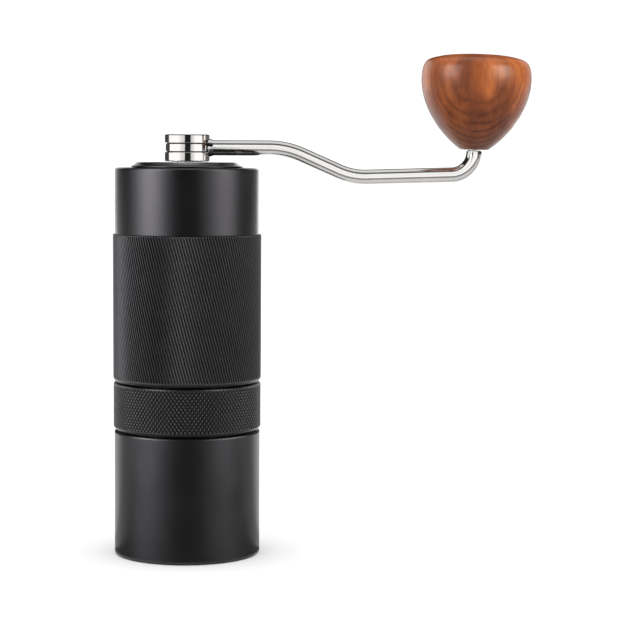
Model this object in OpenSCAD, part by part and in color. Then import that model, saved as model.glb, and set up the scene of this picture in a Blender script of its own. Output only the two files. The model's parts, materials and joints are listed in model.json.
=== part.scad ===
// Hand crank coffee grinder with a conical burr set, an outside grind ring,
// a screw-on catch cup and a lift-off lid and crank.
// Millimetres. +Z is up along the grinding axis, the origin is the centre of the
// rest plane under the cup, and the crank points along +X. Heights are given from
// the cup's foot line, which the foot holds a little above the rest plane.

/* [Body] */
// Outside diameter of the smooth body
body_d = 55; // [53:0.5:58]
// Height of the foot line above the rest plane
foot = 0.9; // [0.6:0.1:1.2]
// Height of the body's top face above the foot line
body_top = 147; // [146:0.5:150]
// Diameter of the bean hopper's bore
hopper_d = 47; // [46:0.5:47.5]
// Bevel on the body's top edge
body_bevel = 0.8; // [0.5:0.1:1.2]

/* [Grip sleeve] */
// Outside diameter of the grip sleeve
grip_d = 56.6; // [56:0.2:58]
// Height of the sleeve's lower end
grip_bottom = 65.7; // [65.6:0.1:66.5]
// Height of the sleeve's upper end
grip_top = 121.8; // [110:0.2:130]

/* [Grind ring] */
// Outside diameter of the grind ring over its knurl
ring_d = 56.4; // [55.5:0.1:57]
// Height of the ring's lower face
ring_bottom = 47.1; // [47:0.05:47.3]
// Height of the ring's upper face
ring_top = 65.1; // [64.8:0.1:65.2]

/* [Catch cup] */
// Outside diameter of the catch cup
cup_d = 55.7; // [55:0.1:56.2]
// Height of the cup's rim
cup_top = 46.7; // [46:0.1:46.8]
// Wall thickness of the cup below its thread
cup_wall = 3.55; // [2.5:0.05:4]
// Thickness of the cup's floor above its foot pad recess
cup_floor = 2.2; // [1.5:0.1:4]

/* [Crank] */
// Diameter of the crank head's upper and lower bands
hub_d = 17; // [16:0.2:19]
// Diameter of the bent crank rod
arm_d = 5.8; // [5.4:0.1:6]
// Length of the crank rod's low, nearly level run
arm_run = 32.3; // [30:0.1:40]
// Angle at which the rod steps down, in degrees
arm_drop = 23.8; // [15:0.2:30]

/* [Knob] */
// Largest diameter of the knob
knob_d = 41.7; // [36:0.5:46]
// Height of the knob from its neck to its crown
knob_h = 36.1; // [32:0.1:42]
// Lean of the knob's axis away from the grinder, in degrees
knob_lean = 1.3; // [0:0.1:2]

/* [Burr set] */
// Largest diameter of the inner burr
burr_d = 38; // [36:0.5:38.5]
// Number of feed flutes on each burr
flutes = 6; // [5:1:8]
// Number of fine teeth on each burr
teeth = 36; // [24:2:44]

/* [Hidden] */
$fn = 96;

black = [0.07, 0.07, 0.075];
steel = [0.75, 0.74, 0.72];

body_r = body_d / 2;
cup_r = cup_d / 2;
hopper_r = hopper_d / 2;
grip_r = grip_d / 2;
grip_in = 26.3;            // radius of the sleeve's seat on the body
shoulder_z = 65.4;         // the body's lower shoulder, which the grind ring runs against
neck_r = 24.2;             // radius of the body's neck inside the grind ring
bore_r = 22;               // bore that the burr carrier slides in
step_z = 78;               // seat of the lower bridge
spigot_end = 39;           // lower end of the body's threaded spigot
hub_r = hub_d / 2;
hub_base = 149.5;
hub_top = 159.65;
arm_z = 154.65;
arm_r = arm_d / 2;
pin_r = 2.45;              // the rod's turned end inside the knob's bush
shaft_r = 4;
hex_af = 6;                // across flats of the shaft's driving end

// Bearings: 8 x 16 x 5
brg_or = 8;
brg_w = 5;
brg_pitch = 6;
ball_r = 1.2;
balls = 9;
upper_brg_z = 128;
lower_brg_z = 81;

// Burr set heights
burr_lo = 57;
burr_hi = 77;
ring_burr_lo = 56;
ring_burr_hi = 70;
carrier_top = 73;
pin_z = 53;

// ---- shared shapes ----
// Raises the foot line above the rest plane
module lifted() { translate([0, 0, foot]) children(); }

module tube(ro, ri, z0, z1) {
  translate([0, 0, z0]) difference() {
    cylinder(r = ro, h = z1 - z0);
    translate([0, 0, -1]) cylinder(r = ri, h = z1 - z0 + 2);
  }
}

module turned(points) { rotate_extrude() polygon(points); }

module ring_of(n, start = 0) {
  for (i = [0 : n - 1]) rotate([0, 0, start + i * 360 / n]) children();
}

// Thread profile stand-in: level ridges on a turned profile, from z0 upward.
function ridges_up(r_root, r_crest, z0, n, pitch) = [
  for (i = [0 : n - 1]) each [
    [r_root, z0 + i * pitch], [r_crest, z0 + (i + 0.3) * pitch],
    [r_crest, z0 + (i + 0.55) * pitch], [r_root, z0 + (i + 0.85) * pitch]
  ]
];
function ridges_down(r_root, r_crest, z0, n, pitch) =
  let (up = ridges_up(r_root, r_crest, z0, n, pitch)) [for (i = [len(up) - 1 : -1 : 0]) up[i]];

// A wire of radius w swept along a helix of mean radius r, from z0 to z1.
module coil(r, w, z0, z1, turns, per_turn = 20, sides = 8) {
  n = ceil(turns * per_turn);
  pts = [
    for (i = [0 : n]) let (a = 360 * turns * i / n, z = z0 + (z1 - z0) * i / n)
      for (j = [0 : sides - 1]) let (b = 360 * j / sides)
        [(r + w * cos(b)) * cos(a), (r + w * cos(b)) * sin(a), z + w * sin(b)]
  ];
  sides_f = [
    for (i = [0 : n - 1]) for (j = [0 : sides - 1]) let (k = (j + 1) % sides)
      each [[i * sides + j, (i + 1) * sides + j, (i + 1) * sides + k],
            [i * sides + j, (i + 1) * sides + k, i * sides + k]]
  ];
  cap_a = [for (j = [1 : sides - 2]) [0, j, j + 1]];
  cap_b = [for (j = [1 : sides - 2]) [n * sides, n * sides + j + 1, n * sides + j]];
  polyhedron(points = pts, faces = concat(sides_f, cap_a, cap_b), convexity = 10);
}

// Flat outline with n saw teeth between the radii r - d and r.
function saw_outline(n, r, d) = [
  for (i = [0 : n - 1]) let (a = 360 / n)
    each [
      [r * cos(i * a), r * sin(i * a)],
      [(r - 0.25 * d) * cos((i + 0.35) * a), (r - 0.25 * d) * sin((i + 0.35) * a)],
      [(r - d) * cos((i + 0.8) * a), (r - d) * sin((i + 0.8) * a)]
    ]
];

// A tapered, twisted post with saw teeth: radius ra at the bottom, rb at the top.
module fluted_cone(n, ra, rb, d, h, twist, slices) {
  linear_extrude(height = h, twist = twist, scale = rb / ra, slices = slices)
    polygon(saw_outline(n, ra, d));
}

// ---- body ----
module body_tube() {
  color(black) difference() {
    turned(concat(
      [[bore_r, spigot_end], [23.4, spigot_end], [24.0, spigot_end + 0.6]],
      ridges_up(24.0, 24.35, 39.9, 3, 1.6),
      [[24.0, 44.9], [24.15, 45.0], [23.25, 45.15], [23.25, 46.45], [neck_r, 46.5],
       [neck_r, 47.6], [23.4, 47.6], [23.4, 48.6], [neck_r, 48.6], [neck_r, shoulder_z],
       [grip_in, shoulder_z], [grip_in, grip_top], [body_r, grip_top],
       [body_r, body_top - body_bevel], [body_r - 0.2, body_top - 0.3],
       [body_r - body_bevel, body_top],
       [25.3, body_top], [25.3, body_top - 1.2], [hopper_r + 0.3, body_top - 1.2],
       [hopper_r, body_top - 1.5], [hopper_r, step_z], [bore_r, step_z]]
    ));
    // Guide slots for the carrier's pins
    ring_of(3, 90) translate([21, -1.6, pin_z - 2.4]) cube([4.5, 3.2, 4.8]);
    // Countersunk holes for the bridge screws, hidden by the sleeve
    ring_of(3, 30) translate([0, 0, lower_brg_z + 2]) rotate([0, 90, 0]) {
      cylinder(r = 1.6, h = 30);
      translate([0, 0, 24.9]) cylinder(r1 = 1.6, r2 = 3.1, h = 1.5);
    }
    // Blind holes for the detent springs and balls
    ring_of(3, 0) translate([25.2, 0, shoulder_z - 1]) cylinder(r = 0.85, h = 7.5);
  }
}

module grip_sleeve() {
  color([0.1, 0.1, 0.1])
    turned([[grip_in, grip_bottom], [grip_r - 0.75, grip_bottom], [grip_r - 0.45, grip_bottom + 0.35],
            [grip_r - 0.15, grip_bottom + 0.95], [grip_r, grip_bottom + 1.7],
            [grip_r, grip_top - 0.15], [grip_r - 0.15, grip_top], [grip_in, grip_top]]);
}

// Three-armed bearing bridge: rim, arms and bearing seat.
module upper_bridge() {
  color(black) difference() {
    union() {
      turned([[hopper_r - 2.2, 125], [hopper_r, 125], [hopper_r, 134], [hopper_r - 1.6, 134], [hopper_r - 2.2, 133]]);
      tube(10.5, 6.6, 126.5, 134);
      ring_of(3, 90) hull() {
        translate([9.5, -1.5, 127]) cube([12.6, 3, 5]);
        translate([9.5, -0.6, 132]) cube([12.6, 1.2, 1.5]);
      }
    }
    translate([0, 0, upper_brg_z]) cylinder(r = brg_or, h = 10);
  }
}

module lower_bridge() {
  color(black) difference() {
    union() {
      turned([[18, step_z], [hopper_r, step_z], [hopper_r, 88], [hopper_r - 0.8, 88], [18, 80.5]]);
      tube(10.5, 6.6, 79.4, 87);
      ring_of(3, 90) hull() {
        translate([9.5, -1.6, 79.6]) cube([10.5, 3.2, 4.4]);
        translate([9.5, -0.7, 84]) cube([12.5, 1.4, 2.2]);
      }
    }
    translate([0, 0, lower_brg_z]) cylinder(r = brg_or, h = 10);
    ring_of(3, 30) translate([0, 0, lower_brg_z + 2]) rotate([0, 90, 0])
      translate([0, 0, 17]) cylinder(r = 1.27, h = 10);
  }
}

module bridge_screws() {
  color(steel) ring_of(3, 30) translate([0, 0, lower_brg_z + 2]) rotate([0, 90, 0]) difference() {
    union() {
      translate([0, 0, 20.9]) cylinder(r = 1.25, h = 4);
      translate([0, 0, 24.65]) cylinder(r1 = 1.25, r2 = 2.45, h = 1.2);
    }
    translate([0, 0, 25.0]) cylinder(r = 1, h = 2, $fn = 6);
  }
}

// ---- bearings ----
module outer_race(z0) {
  zc = z0 + brg_w / 2;
  color(steel) translate([0, 0, zc]) difference() {
    turned([[6.9, -2.3], [7.1, -2.5], [7.8, -2.5], [brg_or, -2.3], [brg_or, 2.3], [7.8, 2.5], [7.1, 2.5], [6.9, 2.3]]);
    rotate_extrude() translate([brg_pitch, 0]) circle(r = ball_r + 0.06);
  }
}

module inner_race(z0) {
  zc = z0 + brg_w / 2;
  color(steel) translate([0, 0, zc]) difference() {
    turned([[shaft_r, -2.3], [4.2, -2.5], [4.9, -2.5], [5.1, -2.3], [5.1, 2.3], [4.9, 2.5], [4.2, 2.5], [shaft_r, 2.3]]);
    rotate_extrude() translate([brg_pitch, 0]) circle(r = ball_r + 0.06);
  }
}

module bearing_balls(z0) {
  color(steel) ring_of(balls) translate([brg_pitch, 0, z0 + brg_w / 2]) sphere(r = ball_r);
}

module bearing_cage(z0) {
  color([0.75, 0.62, 0.35]) translate([0, 0, z0 + brg_w / 2]) difference() {
    turned([[5.5, -0.3], [6.5, -0.3], [6.5, 1.9], [5.5, 1.9]]);
    ring_of(balls) translate([brg_pitch, 0, 0]) sphere(r = ball_r + 0.06);
  }
}

// ---- drive line ----
module main_shaft() {
  color(steel) difference() {
    union() {
      turned([[0, 50.6], [2.5, 50.6], [3, 51.1], [3, 58.6], [shaft_r, 58.6], [shaft_r, lower_brg_z + brg_w],
              [4.85, lower_brg_z + brg_w], [4.85, upper_brg_z], [shaft_r, upper_brg_z],
              [shaft_r, 133.15], [3.6, 133.15], [3.6, 134.05], [shaft_r, 134.05],
              [shaft_r, 142], [3.2, 142.8], [0, 142.8]]);
      translate([0, 0, 142.4]) cylinder(r = hex_af / 2 / cos(30), h = 13.3, $fn = 6);
      turned([[0, 155.5], [2.95, 155.5], [2.4, 156.3], [0, 156.3]]);
    }
  }
}

module circlip(ri, ro, z0, t, gap) {
  color([0.3, 0.3, 0.31]) difference() {
    tube(ro, ri, z0, z0 + t);
    translate([0, -gap / 2, z0 - 1]) cube([ro + 1, gap, t + 2]);
  }
}

module shaft_circlip() { circlip(3.62, 6.2, 133.2, 0.8, 3.2); }

// Inner burr: feed flutes at the top, fine teeth round the wide end.
module inner_burr() {
  r0 = burr_d / 2;
  color(steel) difference() {
    union() {
      translate([0, 0, burr_lo]) fluted_cone(teeth, r0, r0 - 2.6, 0.9, 6, 14, 5);
      translate([0, 0, burr_lo + 5.6]) fluted_cone(flutes, r0 - 3.1, 8.4, 3.4, burr_hi - burr_lo - 5.6, 75, 18);
      translate([0, 0, burr_lo + 1]) cylinder(r = 7.2, h = burr_hi - burr_lo - 1);
    }
    translate([0, 0, burr_lo - 1]) cylinder(r = shaft_r, h = 40);
    translate([0, 0, burr_lo - 1]) cylinder(r = 7.5, h = 2.4);
  }
}

module burr_washer() { color(steel) tube(7, 3.1, 57.5, 58.35); }

module burr_nut() {
  color(steel) difference() {
    translate([0, 0, 52.6]) intersection() {
      cylinder(r = 5.77, h = 4.9, $fn = 6);
      union() {
        cylinder(r1 = 5.1, r2 = 5.8, h = 0.5);
        translate([0, 0, 0.5]) cylinder(r = 5.8, h = 3.9);
        translate([0, 0, 4.4]) cylinder(r1 = 5.8, r2 = 5.1, h = 0.5);
      }
    }
    translate([0, 0, 50]) cylinder(r = 3.02, h = 10);
  }
}

// Ring burr: the same teeth on its inside.
module outer_burr() {
  color(steel) difference() {
    translate([0, 0, ring_burr_lo]) cylinder(r = 20.6, h = ring_burr_hi - ring_burr_lo);
    translate([0, 0, ring_burr_lo - 0.5]) fluted_cone(teeth, 20.2, 18.9, 0.5, 5.5, -10, 5);
    translate([0, 0, ring_burr_lo + 4.9]) fluted_cone(flutes * 2, 19.9, 17.6, 1.4, ring_burr_hi - ring_burr_lo - 4.4, -30, 12);
    ring_of(3, 30) translate([19.15, 0, ring_burr_hi - 4]) cylinder(r = 0.82, h = 5);
  }
}

module burr_carrier() {
  color(black) difference() {
    turned([[20.3, 50], [21.6, 50], [21.9, 50.3], [21.9, carrier_top - 0.3], [21.6, carrier_top],
            [18.6, carrier_top], [17.9, carrier_top - 0.8], [17.9, ring_burr_hi], [20.6, ring_burr_hi],
            [20.6, 55.9], [20.3, 55.6]]);
    ring_of(3, 90) translate([0, 0, pin_z]) rotate([0, 90, 0]) translate([0, 0, 18]) cylinder(r = 1.5, h = 6);
    ring_of(3, 30) translate([19.15, 0, ring_burr_hi - 1]) {
      cylinder(r = 0.9, h = 5);
      translate([0, 0, carrier_top - ring_burr_hi]) cylinder(r1 = 0.9, r2 = 1.75, h = 1.02);
    }
  }
}

module carrier_screws() {
  color(steel) ring_of(3, 30) translate([19.15, 0, 0]) difference() {
    union() {
      translate([0, 0, ring_burr_hi - 3.8]) cylinder(r = 0.8, h = 6.2);
      translate([0, 0, carrier_top - 0.95]) cylinder(r1 = 0.8, r2 = 1.55, h = 0.85);
    }
    translate([0, 0, carrier_top - 0.6]) cylinder(r = 0.6, h = 2, $fn = 6);
  }
}

module guide_pins() {
  color(steel) ring_of(3, 90) translate([0, 0, pin_z]) rotate([0, 90, 0])
    translate([0, 0, 20.35]) cylinder(r = 1.5, h = 5.75);
}

module preload_spring() {
  color(steel) coil(20.9, 0.5, carrier_top + 0.55, step_z - 0.55, 2.25, 24, 8);
}

// ---- grind ring ----
module grind_ring() {
  r = ring_d / 2;
  color(black) difference() {
    turned([[neck_r + 0.1, 48.8], [26.0, 48.8], [26.0, ring_bottom], [r - 1.05, ring_bottom],
            [r - 0.75, ring_bottom + 0.25], [r, ring_bottom + 1.25],
            [r, ring_top - 0.55], [r - 0.4, ring_top], [neck_r + 0.3, ring_top], [neck_r + 0.1, ring_top - 0.2]]);
    // Run-out groove that the guide pins travel in
    turned([[neck_r - 1, pin_z - 2.55], [26.4, pin_z - 2.55], [26.4, pin_z + 2.55], [neck_r - 1, pin_z + 2.55]]);
  }
}

module ring_circlip() { circlip(23.45, 25.8, 47.7, 0.8, 9); }

module detent_balls() {
  color(steel) ring_of(3, 0) translate([25.2, 0, 65.92]) sphere(r = 0.8);
}

module detent_springs() {
  color(steel) ring_of(3, 0) translate([25.2, 0, 0]) coil(0.6, 0.16, 67.0, 71.7, 5, 10, 6);
}

// ---- catch cup ----
module catch_cup() {
  ri = cup_r - cup_wall;
  color(black) difference() {
    turned(concat(
      [[0, 1.6 - foot], [25.0, 1.6 - foot], [25.0, 0.2 - foot], [cup_r - 0.5, 0.2 - foot],
       [cup_r - 0.15, 0.35 - foot], [cup_r, 0.7 - foot],
       [cup_r, cup_top - 0.6], [cup_r - 0.2, cup_top - 0.2], [cup_r - 0.6, cup_top],
       [24.9, cup_top], [24.5, cup_top - 0.4]],
      ridges_down(24.5, 24.85, 39.3, 3, 1.6),
      [[24.5, 38.6], [ri, 38.2], [ri, cup_floor + 3.7], [ri - 0.9, cup_floor + 1.6], [ri - 3, cup_floor + 0.7],
       [0, cup_floor + 0.7]]
    ));
  }
}

module cup_foot_pad() {
  color([0.05, 0.05, 0.05]) difference() {
    turned([[0, -foot], [24.2, -foot], [24.7, 0.3 - foot], [24.7, 1.6 - foot], [0, 1.6 - foot]]);
    for (r = [8, 14, 20]) tube(r + 0.6, r, -foot - 1, 0.5 - foot);
  }
}

module cup_seal() {
  color([0.12, 0.12, 0.12]) translate([0, 0, 45.8]) rotate_extrude() translate([23.84, 0]) circle(r = 0.56);
}

// ---- lid ----
module lid() {
  color(black) difference() {
    turned([[0, 141.5], [22.7, 141.5], [23.2, 142], [23.2, 142.9], [22.1, 142.9], [22.1, 144.4], [23.2, 144.4],
            [23.2, 145.8], [25.1, 145.8], [25.1, 146.85], [24.95, 147], [20.9, 147], [20.7, 147.15],
            [20.75, 147.22], [21.25, 147.25], [21.4, 147.35], [21.4, 147.6], [21.2, 147.75], [20.4, 148.1], [19.75, 148.5],
            [19.35, 148.9], [19.0, 149.1], [0, 149.1]]);
    translate([0, 0, 140]) cylinder(r = 6.6, h = 12);
    translate([0, 0, 140]) cylinder(r = 8.6, h = 5.3);
    translate([0, 0, 148.7]) cylinder(r = 7.9, h = 2);
  }
}

module lid_seal() {
  color([0.12, 0.12, 0.12]) translate([0, 0, 143.65]) rotate_extrude() translate([22.76, 0]) circle(r = 0.64);
}

module lid_bush() {
  color([0.85, 0.84, 0.8])
    turned([[5.6, 145.3], [6.6, 145.3], [6.6, 148.7], [7.8, 148.7], [7.8, 149.35], [5.6, 149.35]]);
}

// ---- crank ----
module crank_hub() {
  color(steel) difference() {
    union() {
      turned([[0, 143.2], [5.2, 143.2], [5.5, 143.5], [5.5, 144.25], [5.0, 144.25], [5.0, 145.15], [5.5, 145.15],
              [5.5, hub_base], [hub_r - 0.25, hub_base], [hub_r, hub_base + 0.25],
              [hub_r, 152.8], [hub_r - 0.15, 152.95], [hub_r - 0.75, 152.95], [hub_r - 0.75, 153.2],
              [hub_r - 0.4, 153.25], [hub_r - 0.35, 153.35], [hub_r - 0.35, 156.0], [hub_r - 0.4, 156.1],
              [hub_r - 0.75, 156.15], [hub_r - 0.75, 156.4], [hub_r - 0.15, 156.4], [hub_r, 156.55],
              [hub_r, hub_top - 0.35], [hub_r - 0.1, hub_top - 0.1], [hub_r - 0.35, hub_top], [0, hub_top]]);
      translate([0, 0, arm_z]) rotate([0, 90, 0]) rotate_extrude()
        polygon([[0, 5], [3.6, 5], [3.6, hub_r - 0.45], [3.4, hub_r + 0.05], [3.26, hub_r + 0.5], [3.14, hub_r + 1], [3.06, hub_r + 1.4], [0, hub_r + 1.4]]);
    }
    translate([0, 0, 140]) cylinder(r = (hex_af + 0.2) / 2 / cos(30), h = 17, $fn = 6);
    translate([0, 0, arm_z]) rotate([0, 90, 0]) translate([0, 0, 4.5]) cylinder(r = arm_r, h = 10);
  }
}

module hub_circlip() { circlip(5.02, 7.4, 144.3, 0.8, 4); }

// Bent rod in the XZ plane: each stretch is [straight length, bend angle, bend radius].
arm_end_heading = 90 - knob_lean;
low_heading = 1.8;
arm_path = [
  [26.7, -arm_drop, 30.6],
  [15.4, arm_drop + low_heading, 24.6],
  [arm_run, arm_end_heading - low_heading, 8.8]
];

// Position and heading at the start of stretch i
function arm_pose(i) = i == 0 ? [4.5, arm_z, 0] :
  let (p = arm_pose(i - 1), s = arm_path[i - 1],
       x1 = p[0] + s[0] * cos(p[2]), z1 = p[1] + s[0] * sin(p[2]),
       h = p[2] + s[1], k = s[1] > 0 ? 1 : -1)
    [x1 + k * s[2] * (sin(h) - sin(p[2])), z1 - k * s[2] * (cos(h) - cos(p[2])), h];

arm_end = arm_pose(3);
knob_base = [arm_end[0] + 1.1 * cos(arm_end_heading), 0, arm_end[1] + 1.1 * sin(arm_end_heading)];

// Places children in the knob's own frame: base at the origin, axis along +Z
module at_knob() { translate(knob_base) rotate([0, 90 - arm_end_heading, 0]) children(); }

module crank_arm() {
  color(steel) union() {
    for (i = [0 : 2]) let (p = arm_pose(i), s = arm_path[i], lap = 20 / s[2]) {
      translate([p[0], 0, p[1]]) rotate([0, 90 - p[2], 0]) cylinder(r = arm_r, h = s[0]);
      // The bend: a torus stretch about a centre to the left or right of the heading,
      // lapping a little into the straight stretches either side
      translate([p[0] + s[0] * cos(p[2]), 0, p[1] + s[0] * sin(p[2])]) rotate([90, 0, 0])
        rotate([0, 0, p[2]])
          translate([0, s[1] > 0 ? s[2] : -s[2], 0])
            rotate([0, 0, (s[1] > 0 ? -90 : 90 + s[1]) - lap])
              rotate_extrude(angle = abs(s[1]) + 2 * lap) translate([s[2], 0]) circle(r = arm_r - 0.02);
    }
    at_knob() translate([0, 0, -1.1]) {
      cylinder(r = arm_r, h = 0.7);
      turned([[0, 0], [pin_r, 0.7], [pin_r, 25.0], [2.05, 25.0], [2.05, 25.8], [pin_r, 25.8], [pin_r, 26.6], [2.1, 26.9], [0, 26.9]]);
    }
  }
}

module knob_washer() { color(steel) at_knob() tube(3.8, 2.5, 23.25, 23.75); }

module knob_clip() {
  color([0.3, 0.3, 0.31]) at_knob() difference() {
    tube(3.7, 2.07, 23.95, 24.65);
    translate([0, -1.2, 23]) cube([5, 2.4, 3]);
  }
}

// Flanged sleeve screwed into the knob; the rod's turned end runs inside it.
module knob_bush() {
  color(steel) at_knob()
    turned([[2.52, -0.35], [3.75, -0.35], [3.95, -0.15], [3.95, 0.9], [3.4, 0.9], [3.4, 1.2], [3.55, 1.4], [3.55, 23.1], [2.52, 23.1]]);
}

// Knob profile from neck to crown: [share of the largest radius, share of the height]
knob_profile = [
  [0.257, 0.000], [0.283, 0.012], [0.369, 0.050], [0.454, 0.093], [0.527, 0.135], [0.593, 0.177], [0.656, 0.219],
  [0.707, 0.261], [0.754, 0.303], [0.802, 0.345], [0.841, 0.387], [0.876, 0.428], [0.907, 0.470], [0.934, 0.512],
  [0.955, 0.554], [0.972, 0.596], [0.986, 0.638], [0.995, 0.680], [0.9995, 0.722], [1.000, 0.752], [0.997, 0.785],
  [0.990, 0.820], [0.979, 0.852], [0.962, 0.879], [0.938, 0.903], [0.906, 0.923], [0.862, 0.940], [0.803, 0.953],
  [0.727, 0.965], [0.628, 0.977], [0.507, 0.987], [0.36, 0.994], [0.18, 0.999], [0, 1.0]
];

module knob() {
  color([0.5, 0.25, 0.12]) at_knob() difference() {
    turned(concat([[0, 0]], [for (p = knob_profile) [p[0] * knob_d / 2, p[1] * knob_h]]));
    translate([0, 0, -1]) cylinder(r = 3.97, h = 1.92);
    translate([0, 0, -1]) cylinder(r = 3.57, h = 24.3);
    translate([0, 0, 23]) cylinder(r = 4.1, h = 4.4);
  }
}

lifted() body_tube();
lifted() grip_sleeve();
lifted() upper_bridge();
lifted() lower_bridge();
lifted() bridge_screws();
lifted() outer_race(upper_brg_z);  // upper_bearing_outer_race
lifted() bearing_cage(upper_brg_z);  // upper_bearing_cage
lifted() bearing_balls(upper_brg_z);  // upper_bearing_balls
lifted() inner_race(upper_brg_z);  // upper_bearing_inner_race
lifted() outer_race(lower_brg_z);  // lower_bearing_outer_race
lifted() bearing_cage(lower_brg_z);  // lower_bearing_cage
lifted() bearing_balls(lower_brg_z);  // lower_bearing_balls
lifted() inner_race(lower_brg_z);  // lower_bearing_inner_race
lifted() main_shaft();
lifted() shaft_circlip();
lifted() inner_burr();
lifted() burr_washer();
lifted() burr_nut();
lifted() outer_burr();
lifted() burr_carrier();
lifted() carrier_screws();
lifted() guide_pins();
lifted() preload_spring();
lifted() grind_ring();
lifted() ring_circlip();
lifted() detent_balls();
lifted() detent_springs();
lifted() catch_cup();
lifted() cup_foot_pad();
lifted() cup_seal();
lifted() lid();
lifted() lid_seal();
lifted() lid_bush();
lifted() crank_hub();
lifted() hub_circlip();
lifted() crank_arm();
lifted() knob_washer();
lifted() knob_clip();
lifted() knob_bush();
lifted() knob();
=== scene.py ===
import json
import math

import bpy
import bmesh
from mathutils import Matrix, Vector


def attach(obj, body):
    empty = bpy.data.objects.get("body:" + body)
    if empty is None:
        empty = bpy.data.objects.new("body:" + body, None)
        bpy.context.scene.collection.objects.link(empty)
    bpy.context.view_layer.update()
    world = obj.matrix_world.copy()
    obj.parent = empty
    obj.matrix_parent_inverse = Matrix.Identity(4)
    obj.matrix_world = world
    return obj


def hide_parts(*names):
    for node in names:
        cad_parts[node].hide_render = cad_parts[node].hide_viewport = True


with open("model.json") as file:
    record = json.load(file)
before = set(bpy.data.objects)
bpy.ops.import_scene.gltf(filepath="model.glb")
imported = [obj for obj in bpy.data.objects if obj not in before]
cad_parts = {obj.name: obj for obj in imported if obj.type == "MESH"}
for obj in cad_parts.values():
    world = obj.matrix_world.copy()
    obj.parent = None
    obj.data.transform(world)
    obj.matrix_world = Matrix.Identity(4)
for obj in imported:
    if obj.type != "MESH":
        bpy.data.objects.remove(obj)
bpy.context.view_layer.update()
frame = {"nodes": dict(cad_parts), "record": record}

MM = 0.001
FOOT = 0.9  # mm, height of the cup's foot line above the rest plane
BODY_R, GRIP_R, RING_R, CUP_R = 27.5, 28.3, 28.2, 27.85
TAU = 2 * math.pi


# ---------------------------------------------------------------- mesh helpers
def add_object(name, verts, faces, material, sharp=34.0):
    mesh = bpy.data.meshes.new(name)
    mesh.from_pydata(verts, [], faces)
    bm = bmesh.new()
    bm.from_mesh(mesh)
    bmesh.ops.remove_doubles(bm, verts=bm.verts, dist=1e-7)
    bmesh.ops.recalc_face_normals(bm, faces=bm.faces)
    bm.to_mesh(mesh)
    bm.free()
    mesh.shade_smooth()
    mesh.set_sharp_from_angle(angle=math.radians(sharp))
    mesh.materials.append(material)
    obj = bpy.data.objects.new(name, mesh)
    bpy.context.scene.collection.objects.link(obj)
    return obj


def soften(points, radius, steps=4, support=0.3, keep=()):
    """Rounds the corners of a closed (r, z) outline, in mm, and adds a support point either side of each."""
    n = len(points)
    out = []
    for i, p in enumerate(points):
        a, b, c = Vector(points[i - 1]), Vector(p), Vector(points[(i + 1) % n])
        u, v = a - b, c - b
        lu, lv = u.length, v.length
        if lu < 1e-6 or lv < 1e-6:
            continue
        u.normalize()
        v.normalize()
        turn = math.pi - math.acos(max(-1, min(1, u.dot(v))))
        if b.x < 1e-6 or turn < math.radians(14) or i in keep:
            out.append((b.x, b.y))
            continue
        t = min(radius * math.tan(turn / 2), 0.36 * lu, 0.36 * lv)
        start, end = b + u * t, b + v * t
        if lu > 2.5 * (t + support):
            out.append(tuple(b + u * (t + support)))
        for k in range(steps + 1):
            s = k / steps
            q = (1 - s) ** 2 * start + 2 * s * (1 - s) * b + s * s * end
            out.append((q.x, q.y))
        if lv > 2.5 * (t + support):
            out.append(tuple(b + v * (t + support)))
    return out


def lathe_data(points, segs, lift=FOOT):
    """Vertices and faces of a closed (r, z) outline turned about Z. Points on the axis become one vertex."""
    verts, rows = [], []
    for r, z in points:
        if r < 1e-6:
            verts.append((0.0, 0.0, (z + lift) * MM))
            rows.append([len(verts) - 1] * segs)
        else:
            start = len(verts)
            for i in range(segs):
                a = TAU * i / segs
                verts.append((r * MM * math.cos(a), r * MM * math.sin(a), (z + lift) * MM))
            rows.append(list(range(start, start + segs)))
    faces = []
    n = len(rows)
    for j in range(n):
        a, b = rows[j], rows[(j + 1) % n]
        if a[0] == a[1] and b[0] == b[1]:
            continue
        for i in range(segs):
            k = (i + 1) % segs
            f = []
            for v in (a[i], a[k], b[k], b[i]):
                if v not in f:
                    f.append(v)
            if len(f) >= 3:
                faces.append(f)
    return verts, faces


def lathe(name, points, material, segs=192, radius=0.12, sharp=34.0, lift=FOOT, steps=4, keep=()):
    outline = soften(points, radius, steps=steps, keep=keep)
    verts, faces = lathe_data(outline, segs, lift)
    return add_object(name, verts, faces, material, sharp)


def cut_away(obj, cutters):
    """Subtracts closed helper meshes from obj and applies the result."""
    for c in cutters:
        m = obj.modifiers.new("cut", "BOOLEAN")
        m.operation = "DIFFERENCE"
        m.solver = "EXACT"
        m.object = c
    bpy.context.view_layer.update()
    deps = bpy.context.evaluated_depsgraph_get()
    mesh = bpy.data.meshes.new_from_object(obj.evaluated_get(deps))
    obj.modifiers.clear()
    old = obj.data
    obj.data = mesh
    mesh.set_sharp_from_angle(angle=math.radians(34))
    bpy.data.meshes.remove(old)
    for c in cutters:
        data = c.data
        bpy.data.objects.remove(c)
        bpy.data.meshes.remove(data)


def box_at(name, centre, size, turn, material):
    """A box centred at (x, y, z) mm, turned about Z by turn degrees round the origin."""
    hx, hy, hz = (s / 2 for s in size)
    corners = [(sx * hx, sy * hy, sz * hz) for sx in (-1, 1) for sy in (-1, 1) for sz in (-1, 1)]
    m = Matrix.Rotation(math.radians(turn), 4, "Z") @ Matrix.Translation(Vector(centre) * MM)
    verts = [m @ (Vector(c) * MM) for c in corners]
    faces = [(0, 1, 3, 2), (4, 6, 7, 5), (0, 4, 5, 1), (2, 3, 7, 6), (0, 2, 6, 4), (1, 5, 7, 3)]
    return add_object(name, verts, faces, material)


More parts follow.
